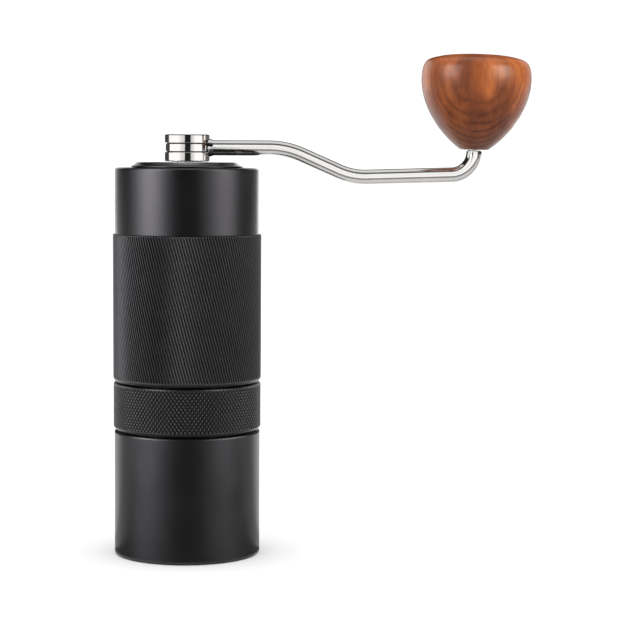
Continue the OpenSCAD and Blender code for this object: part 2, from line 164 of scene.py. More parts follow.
# ---------------------------------------------------------------- materials
def new_material(name):
    mat = bpy.data.materials.new(name)
    mat.use_nodes = True
    nt = mat.node_tree
    bsdf = next(n for n in nt.nodes if n.type == "BSDF_PRINCIPLED")
    return mat, nt, bsdf


def node(nt, kind, **values):
    n = nt.nodes.new(kind)
    for k, v in values.items():
        if k in n.inputs:
            n.inputs[k].default_value = v
        else:
            setattr(n, k, v)
    return n


def scaled_coords(nt, scale, rotate=(0, 0, 0), move=(0, 0, 0)):
    tex = node(nt, "ShaderNodeTexCoord")
    m = node(nt, "ShaderNodeMapping")
    m.inputs["Scale"].default_value = scale
    m.inputs["Rotation"].default_value = rotate
    m.inputs["Location"].default_value = move
    nt.links.new(tex.outputs["Object"], m.inputs["Vector"])
    return m.outputs["Vector"]


def noise(nt, vector, scale, detail=4.0, rough=0.55):
    n = node(nt, "ShaderNodeTexNoise")
    n.inputs["Scale"].default_value = scale
    n.inputs["Detail"].default_value = detail
    n.inputs["Roughness"].default_value = rough
    nt.links.new(vector, n.inputs["Vector"])
    return n.outputs["Fac"]


def ramp(nt, fac, stops):
    r = node(nt, "ShaderNodeValToRGB")
    el = r.color_ramp.elements
    while len(el) > 1:
        el.remove(el[-1])
    el[0].position, el[0].color = stops[0][0], (*stops[0][1], 1)
    for p, c in stops[1:]:
        e = el.new(p)
        e.color = (*c, 1)
    nt.links.new(fac, r.inputs["Fac"])
    return r.outputs["Color"]


def to_range(nt, fac, lo, hi, frm=(0.3, 0.7)):
    m = node(nt, "ShaderNodeMapRange")
    m.inputs["From Min"].default_value = frm[0]
    m.inputs["From Max"].default_value = frm[1]
    m.inputs["To Min"].default_value = lo
    m.inputs["To Max"].default_value = hi
    nt.links.new(fac, m.inputs["Value"])
    return m.outputs["Result"]


def bump(nt, bsdf, fac, strength, distance, extra=None):
    b = node(nt, "ShaderNodeBump")
    b.inputs["Strength"].default_value = strength
    b.inputs["Distance"].default_value = distance
    nt.links.new(fac, b.inputs["Height"])
    if extra is not None:
        nt.links.new(extra, b.inputs["Normal"])
    nt.links.new(b.outputs["Normal"], bsdf.inputs["Normal"])
    return b.outputs["Normal"]


def satin_black(name="satin_black", tone=0.0012, rough=(0.28, 0.32), spec=0.5, grain=0.2):
    """Fine bead-blasted, black anodised aluminium."""
    mat, nt, b = new_material(name)
    base = scaled_coords(nt, (1, 1, 1))
    mottled = noise(nt, base, 70.0, 3.0)
    blast = noise(nt, base, 5200.0, 2.0, 0.6)
    col = ramp(nt, mottled, [(0.3, (tone * 0.85, tone * 0.85, tone * 0.95)), (0.7, (tone * 1.2, tone * 1.2, tone * 1.35))])
    nt.links.new(col, b.inputs["Base Color"])
    nt.links.new(to_range(nt, mottled, *rough), b.inputs["Roughness"])
    b.inputs["Specular IOR Level"].default_value = spec
    bump(nt, b, blast, grain, 0.00003)
    return mat


def ridged_black(name, crest, depth, band, tone=0.004, rough=(0.3, 0.36), spec=(0.08, 0.95)):
    """Matte black with painted shade in the grooves: the ridge tops shine more than the grooves between them."""
    mat, nt, b = new_material(name)
    base = scaled_coords(nt, (1, 1, 1))
    mottled = noise(nt, base, 120.0, 4.0)
    fine = noise(nt, base, 3800.0, 3.0, 0.65)
    col = ramp(nt, mottled, [(0.3, (tone * 0.8, tone * 0.8, tone * 0.82)), (0.7, (tone * 1.25, tone * 1.25, tone * 1.3))])
    nt.links.new(col, b.inputs["Base Color"])
    nt.links.new(to_range(nt, mottled, *rough), b.inputs["Roughness"])
    # painted shade: distance from the grinder's axis tells a ridge top from a groove, inside the ridged band only, and
    # the grooves get a low specular level
    flat = node(nt, "ShaderNodeVectorMath", operation="MULTIPLY")
    flat.inputs[1].default_value = (1.0, 1.0, 0.0)
    nt.links.new(base, flat.inputs[0])
    radius = node(nt, "ShaderNodeVectorMath", operation="LENGTH")
    nt.links.new(flat.outputs["Vector"], radius.inputs[0])
    top = to_range(nt, radius.outputs["Value"], 0.0, 1.0, ((crest - 0.8 * depth) * MM, (crest - 0.15 * depth) * MM))
    split = node(nt, "ShaderNodeSeparateXYZ")
    nt.links.new(base, split.inputs[0])
    under = to_range(nt, split.outputs["Z"], 0.4, 0.0, ((band[0] - 0.2) * MM, band[0] * MM))
    over = to_range(nt, split.outputs["Z"], 0.0, 0.4, (band[1] * MM, (band[1] + 0.2) * MM))
    for edge in (under, over):
        pick = node(nt, "ShaderNodeMath", operation="MAXIMUM")
        nt.links.new(top, pick.inputs[0])
        nt.links.new(edge, pick.inputs[1])
        top = pick.outputs[0]
    nt.links.new(to_range(nt, top, spec[0], spec[1], (0.0, 1.0)), b.inputs["Specular IOR Level"])
    bump(nt, b, fine, 0.3, 0.00004)
    return mat


def steel(name, tint, rough, line_scale=(1, 1, 1), lines=0.0, line_freq=4000.0, smear=0.02, metal=1.0):
    mat, nt, b = new_material(name)
    soft = noise(nt, scaled_coords(nt, (1, 1, 1)), 90.0, 3.0)
    col = ramp(nt, soft, [(0.3, tuple(c * 0.95 for c in tint)), (0.7, tuple(min(1, c * 1.03) for c in tint))])
    nt.links.new(col, b.inputs["Base Color"])
    nt.links.new(to_range(nt, soft, rough - smear, rough + smear), b.inputs["Roughness"])
    b.inputs["Metallic"].default_value = metal
    if lines:
        turned = noise(nt, scaled_coords(nt, line_scale), line_freq, 2.0, 0.7)
        bump(nt, b, turned, lines, 0.00002)
    return mat


def plain_soft(name, colour, rough, spec=0.5, metal=0.0):
    mat, nt, b = new_material(name)
    n = noise(nt, scaled_coords(nt, (1, 1, 1)), 400.0, 4.0)
    col = ramp(nt, n, [(0.3, tuple(c * 0.85 for c in colour)), (0.7, tuple(min(1, c * 1.1) for c in colour))])
    nt.links.new(col, b.inputs["Base Color"])
    nt.links.new(to_range(nt, n, rough - 0.05, rough + 0.05), b.inputs["Roughness"])
    b.inputs["Specular IOR Level"].default_value = spec
    b.inputs["Metallic"].default_value = metal
    bump(nt, b, n, 0.12, 0.00005)
    return mat


def walnut(name, centre):
    """Turned walnut: growth layers wrap a pith line behind the knob, fibres run along its axis."""
    mat, nt, b = new_material(name)
    tex = node(nt, "ShaderNodeTexCoord")
    sub = node(nt, "ShaderNodeVectorMath", operation="SUBTRACT")
    sub.inputs[1].default_value = centre
    nt.links.new(tex.outputs["Object"], sub.inputs[0])

    def mapped(scale):
        m = node(nt, "ShaderNodeMapping")
        m.inputs["Scale"].default_value = scale
        nt.links.new(sub.outputs["Vector"], m.inputs["Vector"])
        return m.outputs["Vector"]

    def math_node(op, a, bval):
        m = node(nt, "ShaderNodeMath", operation=op)
        nt.links.new(a, m.inputs[0])
        if isinstance(bval, (int, float)):
            m.inputs[1].default_value = bval
        else:
            nt.links.new(bval, m.inputs[1])
        return m.outputs[0]

    # distance from the pith line, which stands behind the knob
    off = node(nt, "ShaderNodeVectorMath", operation="SUBTRACT")
    off.inputs[1].default_value = (0.002, 0.075, 0.0)
    flat = node(nt, "ShaderNodeVectorMath", operation="MULTIPLY")
    flat.inputs[1].default_value = (1.0, 1.0, 0.06)
    nt.links.new(sub.outputs["Vector"], off.inputs[0])
    nt.links.new(off.outputs["Vector"], flat.inputs[0])
    length = node(nt, "ShaderNodeVectorMath", operation="LENGTH")
    nt.links.new(flat.outputs["Vector"], length.inputs[0])
    wander = noise(nt, mapped((1, 1, 0.5)), 60.0, 2.0, 0.45)
    wander_mm = math_node("MULTIPLY", math_node("SUBTRACT", wander, 0.5), 0.0022)
    dist = math_node("ADD", length.outputs["Value"], wander_mm)
    layers = math_node("FRACT", math_node("ADD", math_node("DIVIDE", dist, 0.00205), 0.12), 0.0)
    layer_tone = ramp(nt, layers, [
        (0.00, (0.72, 0.68, 0.72)), (0.14, (0.98, 0.98, 0.98)), (0.50, (1.10, 1.10, 1.06)), (0.72, (0.93, 0.91, 0.93)),
        (0.90, (0.50, 0.44, 0.50)), (1.0, (0.72, 0.68, 0.72))])
    # the layers stand out in some places and fade in others
    height = node(nt, "ShaderNodeSeparateXYZ")
    nt.links.new(sub.outputs["Vector"], height.inputs[0])
    crown = to_range(nt, height.outputs["Z"], 1.0, 0.3, (-0.001, 0.007))
    fade = math_node("MULTIPLY", to_range(nt, noise(nt, mapped((1, 1, 1)), 95.0, 2.0), 0.3, 1.0, (0.35, 0.62)), crown)
    base = ramp(nt, noise(nt, mapped((1, 1, 0.45)), 95.0, 3.0), [
        (0.32, (0.112, 0.026, 0.0060)), (0.50, (0.200, 0.048, 0.0085)), (0.66, (0.305, 0.084, 0.0150))])
    mix1 = node(nt, "ShaderNodeMix", data_type="RGBA", blend_type="MULTIPLY")
    nt.links.new(fade, mix1.inputs["Factor"])
    nt.links.new(base, mix1.inputs[6])
    nt.links.new(layer_tone, mix1.inputs[7])
    # painted shade: the colour is darker and greyer towards the neck end, which faces down, than at the crown
    neck = ramp(nt, to_range(nt, height.outputs["Z"], 0.0, 1.0, (-0.019, 0.006)), [
        (0.0, (0.68, 0.78, 1.20)), (0.5, (0.74, 0.74, 0.90)), (1.0, (1.0, 1.0, 1.0))])
    mix0 = node(nt, "ShaderNodeMix", data_type="RGBA", blend_type="MULTIPLY")
    mix0.inputs["Factor"].default_value = 1.0
    nt.links.new(mix1.outputs[2], mix0.inputs[6])
    nt.links.new(neck, mix0.inputs[7])
    # fibres and pores along the axis
    fibre = noise(nt, mapped((1, 1, 0.045)), 1500.0, 3.0, 0.6)
    fibre_col = ramp(nt, fibre, [(0.34, (0.80, 0.74, 0.70)), (0.50, (1.0, 1.0, 1.0)), (0.70, (1.14, 1.14, 1.12))])
    mix2 = node(nt, "ShaderNodeMix", data_type="RGBA", blend_type="MULTIPLY")
    mix2.inputs["Factor"].default_value = 0.7
    nt.links.new(mix0.outputs[2], mix2.inputs[6])
    nt.links.new(fibre_col, mix2.inputs[7])
    pores = noise(nt, mapped((1, 1, 0.06)), 3200.0, 1.0, 0.4)
    pore_col = ramp(nt, pores, [(0.26, (0.50, 0.42, 0.40)), (0.34, (1.0, 1.0, 1.0))])
    mix3 = node(nt, "ShaderNodeMix", data_type="RGBA", blend_type="MULTIPLY")
    mix3.inputs["Factor"].default_value = 0.6
    nt.links.new(mix2.outputs[2], mix3.inputs[6])
    nt.links.new(pore_col, mix3.inputs[7])
    nt.links.new(mix3.outputs[2], b.inputs["Base Color"])
    nt.links.new(to_range(nt, fibre, 0.46, 0.36), b.inputs["Roughness"])
    b.inputs["Specular IOR Level"].default_value = 0.3
    b.inputs["Coat Weight"].default_value = 0.32
    b.inputs["Coat Roughness"].default_value = 0.26
    b.inputs["Coat IOR"].default_value = 1.5
    bump(nt, b, fibre, 0.14, 0.00004)
    return mat


MAT = {
    "black": satin_black(),
    "black_inside": satin_black("anodised_inside", tone=0.006, rough=(0.42, 0.5)),
    "grip": ridged_black("grip_black", 28.3, 0.34, (68.2, 122.2), rough=(0.29, 0.35)),
    "knurl": ridged_black("knurled_black", 28.2, 0.30, (49.6, 65.1), rough=(0.28, 0.34), spec=(0.14, 0.86)),
    # painted shade: near-black steel for the grooves round the crank head
    "groove": steel("groove_steel", (0.05, 0.048, 0.046), 0.4),
    "polished": steel("polished_steel", (0.80, 0.785, 0.765), 0.10, line_scale=(0.02, 0.02, 1), lines=0.04, line_freq=9000.0),
    "rod": steel("polished_rod", (0.80, 0.785, 0.765), 0.13, line_scale=(1, 1, 1), lines=0.05, line_freq=2600.0),
    "steel": steel("ground_steel", (0.62, 0.61, 0.59), 0.27, line_scale=(1, 1, 0.1), lines=0.15),
    "burr_steel": steel("machined_burr_steel", (0.55, 0.54, 0.52), 0.34, line_scale=(1, 1, 0.2), lines=0.2),
    "spring_steel": steel("dark_spring_steel", (0.24, 0.24, 0.25), 0.36),
    "brass": steel("pressed_brass", (0.76, 0.58, 0.27), 0.3),
    "acetal": plain_soft("turned_acetal", (0.74, 0.73, 0.69), 0.45),
    "seal_rubber": plain_soft("seal_rubber", (0.022, 0.022, 0.022), 0.62),
}
MAT["black_aluminium"] = MAT["black_inside"]
MAT["grip_rubber"] = MAT["grip"]
MAT["polished_steel"] = MAT["polished"]
MAT["walnut"] = walnut("oiled_walnut", (0.1105, 0.0, 0.175))

# The working parts keep their CAD shapes and take the finish of their slot
slot_of = {s["node"]: s["material_slot"] for s in frame["record"]["subparts"]}
for name, obj in frame["nodes"].items():
    obj.data.materials.clear()
    obj.data.materials.append(MAT[slot_of[name]])


# ---------------------------------------------------------------- body tube
def ridges_up(root, crest, z0, n, pitch):
    out = []
    for i in range(n):
        z = z0 + i * pitch
        out += [(root, z), (crest, z + 0.3 * pitch), (crest, z + 0.55 * pitch), (root, z + 0.85 * pitch)]
    return out


NECK, SHOULDER, STEP, SPIGOT, TOP = 24.2, 65.4, 78.0, 39.0, 147.0
GRIP_LO, GRIP_HI, SEAT = 65.7, 121.8, 26.3
tube_outline = (
    [(22.0, SPIGOT), (23.4, SPIGOT), (24.0, SPIGOT + 0.6)]
    + ridges_up(24.0, 24.35, 39.9, 3, 1.6)
    + [(24.0, 44.9), (24.15, 45.0), (23.25, 45.15), (23.25, 46.45), (NECK, 46.5), (NECK, 47.6), (23.4, 47.6),
       (23.4, 48.6), (NECK, 48.6), (NECK, SHOULDER), (SEAT, SHOULDER), (SEAT, GRIP_HI), (BODY_R, GRIP_HI),
       (BODY_R, TOP - 0.8), (BODY_R - 0.2, TOP - 0.3), (BODY_R - 0.8, TOP), (25.3, TOP), (25.3, TOP - 1.2),
       (23.8, TOP - 1.2), (23.5, TOP - 1.5), (23.5, STEP), (22.0, STEP)]
)
body = lathe("body_shell", tube_outline, MAT["black"], segs=256, radius=0.22)
cutters = [box_at("slot_cut", (23.5, 0, 53.0 + FOOT), (5.0, 3.2, 4.8), 90 + i * 120, MAT["black"]) for i in range(3)]
cut_away(body, cutters)
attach(body, "housing")
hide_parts("body_tube")


# ---------------------------------------------------------------- grip sleeve
def grip_sleeve():
    ridges, per = 158, 8
    n = ridges * per
    lean = TAU * 0.246  # phase per mm of height
    depth = 0.34
    # (z, radius at the crests, ridge depth share)
    rows = [(GRIP_LO, GRIP_R - 0.80, 0.0), (GRIP_LO + 0.12, GRIP_R - 0.62, 0.0), (GRIP_LO + 0.45, GRIP_R - 0.38, 0.0),
            (GRIP_LO + 0.95, GRIP_R - 0.14, 0.0), (GRIP_LO + 1.25, GRIP_R - 0.06, 0.0), (GRIP_LO + 1.45, GRIP_R - 0.03, 0.45),
            (GRIP_LO + 1.7, GRIP_R - 0.01, 0.9)]
    z = GRIP_LO + 2.1
    while z < GRIP_HI - 0.75:
        rows.append((z, GRIP_R, 1.0))
        z += 0.9
    rows += [(GRIP_HI - 0.45, GRIP_R, 1.0), (GRIP_HI - 0.28, GRIP_R - 0.02, 0.85), (GRIP_HI - 0.12, GRIP_R - 0.10, 0.5),
             (GRIP_HI - 0.03, GRIP_R - 0.22, 0.15), (GRIP_HI, GRIP_R - 0.38, 0.0)]
    verts, grid = [], []
    for z, r, share in rows:
        twist = -lean * z / ridges
        row = []
        for i in range(n):
            a = TAU * i / n + twist
            c = 0.5 + 0.5 * math.cos(TAU * i / per)
            rr = r - depth * share * (1 - c ** 0.9)
            row.append(len(verts))
            verts.append((rr * MM * math.cos(a), rr * MM * math.sin(a), (z + FOOT) * MM))
        grid.append(row)
    # inner wall, from the top back to the bottom
    for z in (GRIP_HI, GRIP_LO):
        twist = -lean * (GRIP_HI if z == GRIP_HI else GRIP_LO) / ridges
        row = []
        for i in range(n):
            a = TAU * i / n + twist
            row.append(len(verts))
            verts.append((SEAT * MM * math.cos(a), SEAT * MM * math.sin(a), (z + FOOT) * MM))
        grid.append(row)
    faces = []
    m = len(grid)
    for j in range(m):
        a, b = grid[j], grid[(j + 1) % m]
        for i in range(n):
            k = (i + 1) % n
            faces.append((a[i], a[k], b[k], b[i]))
    return add_object("grip_sleeve_ridged", verts, faces, MAT["grip"], sharp=60)


sleeve = grip_sleeve()
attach(sleeve, "housing")
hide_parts("grip_sleeve")


# ---------------------------------------------------------------- grind ring
def grind_ring():
    count, per = 115, 8
    n = count * per
    freq = 0.46  # cycles per mm of height
    depth = 0.30
    lo, hi = 47.1, 65.1
    step = 1 / freq / per
    rows = [(lo, RING_R - 1.15, 0.0), (lo + 0.03, RING_R - 1.02, 0.0), (lo + 0.25, RING_R - 0.78, 0.0), (lo + 0.75, RING_R - 0.40, 0.0),
            (lo + 1.15, RING_R - 0.10, 0.0), (lo + 1.32, RING_R - 0.02, 0.35)]
    z = lo + 1.5
    while z < hi - 0.85:
        rows.append((z, RING_R, 1.0))
        z += step
    rows += [(hi - 0.66, RING_R - 0.01, 0.5), (hi - 0.50, RING_R - 0.04, 0.0), (hi - 0.10, RING_R - 0.34, 0.0), (hi, RING_R - 0.46, 0.0)]
    verts, grid = [], []
    for z, r, share in rows:
        row = []
        for i in range(n):
            a = TAU * i / n
            u, v = count * a / TAU + freq * z, count * a / TAU - freq * z
            t1, t2 = abs((u % 1) * 2 - 1), abs((v % 1) * 2 - 1)  # 1 in a groove, 0 at a crest
            h = min(1 - t1, 1 - t2)
            h = min(h, 0.72) / 0.72
            rr = r - depth * share * (1 - h)
            row.append(len(verts))
            verts.append((rr * MM * math.cos(a), rr * MM * math.sin(a), (z + FOOT) * MM))
        grid.append(row)
    inner = [(24.5, hi), (24.3, hi - 0.2), (24.3, 55.55), (26.4, 55.55), (26.4, 50.45), (24.3, 50.45), (24.3, 48.8), (26.0, 48.8), (26.0, lo)]
    for r, z in inner:
        row = []
        for i in range(n):
            a = TAU * i / n
            row.append(len(verts))
            verts.append((r * MM * math.cos(a), r * MM * math.sin(a), (z + FOOT) * MM))
        grid.append(row)
    faces = []
    m = len(grid)
    for j in range(m):
        a, b = grid[j], grid[(j + 1) % m]
        for i in range(n):
            k = (i + 1) % n
            faces.append((a[i], a[k], b[k], b[i]))
    return add_object("grind_ring_knurled", verts, faces, MAT["knurl"], sharp=58)


ring = grind_ring()
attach(ring, "ring")
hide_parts("grind_ring")

# ---------------------------------------------------------------- catch cup
CUP_TOP, CUP_IN, FLOOR = 46.7, 24.3, 2.2
thread_down = list(reversed(ridges_up(24.5, 24.85, 39.3, 3, 1.6)))
cup_outline = (
    [(0, 1.6 - FOOT), (25.0, 1.6 - FOOT), (25.0, 0.2 - FOOT), (CUP_R - 0.5, 0.2 - FOOT), (CUP_R - 0.15, 0.35 - FOOT), (CUP_R, 0.7 - FOOT),
     (CUP_R, CUP_TOP - 0.6), (CUP_R - 0.2, CUP_TOP - 0.2), (CUP_R - 0.6, CUP_TOP), (24.9, CUP_TOP), (24.5, CUP_TOP - 0.4)]
    + thread_down
    + [(24.5, 38.6), (CUP_IN, 38.2), (CUP_IN, FLOOR + 3.7), (CUP_IN - 0.9, FLOOR + 1.6), (CUP_IN - 3, FLOOR + 0.7), (0, FLOOR + 0.7)]
)
cup = lathe("cup_shell", cup_outline, MAT["black"], segs=256, radius=0.2)
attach(cup, "cup")
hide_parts("catch_cup")

# ---------------------------------------------------------------- lid
lid_outline = [
    (5.6, 145.3), (8.6, 145.3), (8.6, 141.5), (22.7, 141.5), (23.2, 142), (23.2, 142.9), (22.1, 142.9), (22.1, 144.4), (23.2, 144.4),
    (23.2, 145.8), (25.1, 145.8), (25.1, 146.85), (24.95, 147), (20.9, 147), (20.7, 147.15), (20.75, 147.22), (21.25, 147.25),
    (21.4, 147.35), (21.4, 147.6), (21.2, 147.75), (20.4, 148.1), (19.75, 148.5), (19.35, 148.9), (19.0, 149.1), (7.9, 149.1), (7.9, 148.7), (6.6, 148.7), (6.6, 145.3)]
lid_outline = lid_outline[1:]
lid_piece = lathe("lid_cap", lid_outline, MAT["black"], segs=192, radius=0.08)
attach(lid_piece, "lid_unit")
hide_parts("lid")

# ---------------------------------------------------------------- crank head
HUB_R, HUB_LO, HUB_HI, ARM_Z, ARM_R, PIN_R = 8.5, 149.5, 159.65, 154.65, 2.9, 2.45
hub_outline = [
    (0, 157.0), (3.55, 157.0), (3.55, 143.2), (5.2, 143.2), (5.5, 143.5), (5.5, 144.25), (5.0, 144.25), (5.0, 145.15), (5.5, 145.15),
    (5.5, HUB_LO), (HUB_R - 0.25, HUB_LO), (HUB_R, HUB_LO + 0.25), (HUB_R, 152.8), (HUB_R - 0.15, 152.95), (HUB_R - 0.75, 152.95),
    (HUB_R - 0.75, 153.2), (HUB_R - 0.4, 153.25), (HUB_R - 0.35, 153.35), (HUB_R - 0.35, 156.0), (HUB_R - 0.4, 156.1),
    (HUB_R - 0.75, 156.15), (HUB_R - 0.75, 156.4), (HUB_R - 0.15, 156.4), (HUB_R, 156.55), (HUB_R, HUB_HI - 0.35),
    (HUB_R - 0.1, HUB_HI - 0.1), (HUB_R - 0.35, HUB_HI), (0, HUB_HI)]
hub_verts, hub_faces = lathe_data(soften(hub_outline, 0.09, steps=3, support=0.12), 192)
# the boss that the rod enters, turned about the rod's line
boss_outline = [(2.87, 6.4), (3.6, 6.4), (3.6, HUB_R - 0.45), (3.4, HUB_R + 0.05), (3.26, HUB_R + 0.5), (3.14, HUB_R + 1.0), (3.06, HUB_R + 1.4), (2.87, HUB_R + 1.4)]
boss_verts, boss_faces = lathe_data(soften(boss_outline, 0.1, steps=3, support=0.1), 96, lift=0)
tip = Matrix.Translation((0, 0, (ARM_Z + FOOT) * MM)) @ Matrix.Rotation(math.radians(90), 4, "Y")
start = len(hub_verts)
hub_verts += [tuple(tip @ Vector(v)) for v in boss_verts]
hub_faces += [tuple(start + i for i in f) for f in boss_faces]
hub = add_object("crank_head", hub_verts, hub_faces, MAT["polished"], sharp=40)
# painted shade: the faces in the two grooves round the head take a near-black steel
hub.data.materials.append(MAT["groove"])
for poly in hub.data.polygons:
    c = poly.center / MM
    if any(lo < c.z - FOOT < hi for lo, hi in ((152.9, 153.27), (156.12, 156.45))) and 5.6 < math.hypot(c.x, c.y) < HUB_R - 0.3:
        poly.material_index = 1
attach(hub, "crank")
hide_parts("crank_hub")

# ---------------------------------------------------------------- crank rod
ARM_PATH = [(26.7, -23.8, 30.6), (15.4, 25.6, 24.6), (32.3, 86.9, 8.8)]


def rod_stations():
    """(x, z, heading, radius) along the rod, in mm and radians."""
    x, z, h = 4.5, ARM_Z + FOOT, 0.0
    out = []
    for length, bend, radius in ARM_PATH:
        for k in range(13):
            s = length * k / 12
            out.append((x + s * math.cos(h), z + s * math.sin(h), h, ARM_R))
        x, z = out[-1][0], out[-1][1]
        k = 1 if bend > 0 else -1
        cx, cz = x - k * radius * math.sin(h), z + k * radius * math.cos(h)
        steps = max(8, int(abs(bend) / 1.5))
        h0 = h
        for i in range(1, steps + 1):
            h = h0 + math.radians(bend) * i / steps
            out.append((cx + k * radius * math.sin(h), cz - k * radius * math.cos(h), h, ARM_R))
        x, z = out[-1][0], out[-1][1]
    for s, r in ((0.35, ARM_R), (0.55, ARM_R - 0.04), (0.7, PIN_R), (12.0, PIN_R), (25.0, PIN_R), (25.02, 2.05),
                 (25.8, 2.05), (25.82, PIN_R), (26.6, PIN_R), (26.9, 2.1)):
        out.append((x + s * math.cos(h), z + s * math.sin(h), h, r))
    return out, (x, z, h)


stations, (end_x, end_z, end_h) = rod_stations()
sides = 64
verts, faces = [], []
for x, z, h, r in stations:
    up = Vector((-math.sin(h), 0, math.cos(h)))
    side = Vector((0, 1, 0))
    for i in range(sides):
        a = TAU * i / sides
        p = Vector((x, 0, z)) + up * (r * math.cos(a)) + side * (r * math.sin(a))
        verts.append(tuple(p * MM))
for j in range(len(stations) - 1):
    for i in range(sides):
        k = (i + 1) % sides
        faces.append((j * sides + i, j * sides + k, (j + 1) * sides + k, (j + 1) * sides + i))
faces.append(tuple(range(sides)))
faces.append(tuple((len(stations) - 1) * sides + i for i in range(sides)))
rod = add_object("crank_rod", verts, faces, MAT["rod"], sharp=40)
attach(rod, "crank")
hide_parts("crank_arm")

# ---------------------------------------------------------------- knob and its bush
knob_at = Matrix.Translation(Vector((end_x + 1.1 * math.cos(end_h), 0, end_z + 1.1 * math.sin(end_h))) * MM) @ Matrix.Rotation(math.pi / 2 - end_h, 4, "Y")
KNOB_R, KNOB_H = 20.85, 36.1
PROFILE = [
    (0.257, 0.000), (0.283, 0.012), (0.369, 0.050), (0.454, 0.093), (0.527, 0.135), (0.593, 0.177), (0.656, 0.219),
    (0.707, 0.261), (0.754, 0.303), (0.802, 0.345), (0.841, 0.387), (0.876, 0.428), (0.907, 0.470), (0.934, 0.512),
    (0.955, 0.554), (0.972, 0.596), (0.986, 0.638), (0.995, 0.680), (0.9995, 0.722), (1.000, 0.752), (0.997, 0.785),
    (0.990, 0.820), (0.979, 0.852), (0.962, 0.879), (0.938, 0.903), (0.906, 0.923), (0.862, 0.940), (0.803, 0.953),
    (0.727, 0.965), (0.628, 0.977), (0.507, 0.987), (0.36, 0.994), (0.18, 0.999), (0, 1.0)]


def smooth_curve(points, per=4):
    """Catmull-Rom through the points."""
    out = []
    for i in range(len(points) - 1):
        p0, p1, p2 = points[max(i - 1, 0)], points[i], points[i + 1]
        p3 = points[min(i + 2, len(points) - 1)]
        for k in range(per):
            t = k / per
            out.append(tuple(
                0.5 * (2 * b + (c - a) * t + (2 * a - 5 * b + 4 * c - d) * t * t + (3 * b - a - 3 * c + d) * t ** 3)
                for a, b, c, d in zip(p0, p1, p2, p3)))
    out.append(points[-1])
    return out


outer = [(max(r, 0) * KNOB_R, z * KNOB_H) for r, z in smooth_curve(PROFILE, 3)]
outer[-1] = (0, KNOB_H)
knob_outline = [(0, 27.4), (4.1, 27.4), (4.1, 23.3), (3.57, 23.3), (3.57, 0.92), (3.97, 0.92), (3.97, 0.0)] + [(outer[0][0] - 0.25, 0.0)] + [(outer[0][0], 0.12)] + outer[2:]
verts, faces = lathe_data(knob_outline, 192, lift=0)
knob = add_object("wooden_knob", [tuple(knob_at @ Vector(v)) for v in verts], faces, MAT["walnut"], sharp=45)
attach(knob, "knob_unit")
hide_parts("knob")

bush_outline = soften([(2.52, -0.35), (3.75, -0.35), (3.95, -0.15), (3.95, 0.9), (3.4, 0.9), (3.4, 1.2), (3.55, 1.4), (3.55, 23.1), (2.52, 23.1)], 0.08, steps=3, support=0.1)
verts, faces = lathe_data(bush_outline, 96, lift=0)
bush = add_object("knob_bush_turned", [tuple(knob_at @ Vector(v)) for v in verts], faces, MAT["polished"], sharp=40)
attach(bush, "knob_unit")
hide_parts("knob_bush")

# ---------------------------------------------------------------- floor and studio
floor_mat, nt, fb = new_material("studio_floor")
fn = noise(nt, scaled_coords(nt, (1, 1, 1)), 3.0, 2.0)
fc = ramp(nt, fn, [(0.3, (0.895, 0.895, 0.895)), (0.7, (0.905, 0.905, 0.905))])
nt.links.new(fc, fb.inputs["Base Color"])
fb.inputs["Roughness"].default_value = 0.9
fb.inputs["Specular IOR Level"].default_value = 0.0
size = 6.0
floor = add_object("floor", [(-size, -size, 0), (size, -size, 0), (size, size, 0), (-size, size, 0)], [(0, 1, 2, 3)], floor_mat)

world = bpy.data.worlds.new("studio")
bpy.context.scene.world = world
world.use_nodes = True
bg = world.node_tree.nodes["Background"]
bg.inputs["Color"].default_value = (1, 1, 1, 1)
bg.inputs["Strength"].default_value = 1.12

# Each finish has its own studio lights, as in a product shot lit in passes
METAL = {"polished_steel", "steel", "burr_steel", "spring_steel", "brass"}
groups = {k: bpy.data.collections.new("lit_" + k) for k in ("body", "cup", "grip", "hub", "rod", "wood")}
made = {"hub": [hub, bush], "rod": [rod], "wood": [knob], "body": [body, lid_piece], "cup": [cup], "grip": [sleeve, ring]}
for k, pieces in made.items():
    for piece in pieces:
        groups[k].objects.link(piece)
for name, obj in frame["nodes"].items():
    groups["hub" if slot_of[name] in METAL else "wood" if slot_of[name] == "walnut" else "body"].objects.link(obj)


def emitter(name, strength, tint=(1, 1, 1)):
    mat = bpy.data.materials.new(name)
    mat.use_nodes = True
    nt = mat.node_tree
    nt.nodes.clear()
    out = nt.nodes.new("ShaderNodeOutputMaterial")
    em = nt.nodes.new("ShaderNodeEmission")
    em.inputs["Color"].default_value = (*tint, 1)
    em.inputs["Strength"].default_value = strength
    nt.links.new(em.outputs[0], out.inputs["Surface"])
    return mat


def reflector(name, verts, faces, strength, tint=(1, 1, 1), lights=None):
    """A studio card or flag that shows only in reflections."""
    mesh = bpy.data.meshes.new(name)
    mesh.from_pydata(verts, [], faces)
    mesh.materials.append(emitter(name + "_light", strength, tint))
    obj = bpy.data.objects.new(name, mesh)
    bpy.context.scene.collection.objects.link(obj)
    obj.visible_camera = False
    obj.visible_diffuse = False
    obj.visible_shadow = False
    obj.visible_transmission = False
    obj.visible_volume_scatter = False
    if lights:
        obj.light_linking.receiver_collection = groups[lights]
    return obj


def wall(name, az0, az1, z0, z1, dist, strength, steps=12, tint=(1, 1, 1), lights=None):
    """An upright curved card. Azimuth 0 is towards the camera, positive to its right."""
    verts, faces = [], []
    for i in range(steps + 1):
        a = math.radians(az0 + (az1 - az0) * i / steps)
        x, y = dist * math.sin(a), -dist * math.cos(a)
        verts += [(x, y, z0), (x, y, z1)]
    for i in range(steps):
        faces.append((2 * i, 2 * i + 1, 2 * i + 3, 2 * i + 2))
    return reflector(name, verts, faces, strength, tint, lights)


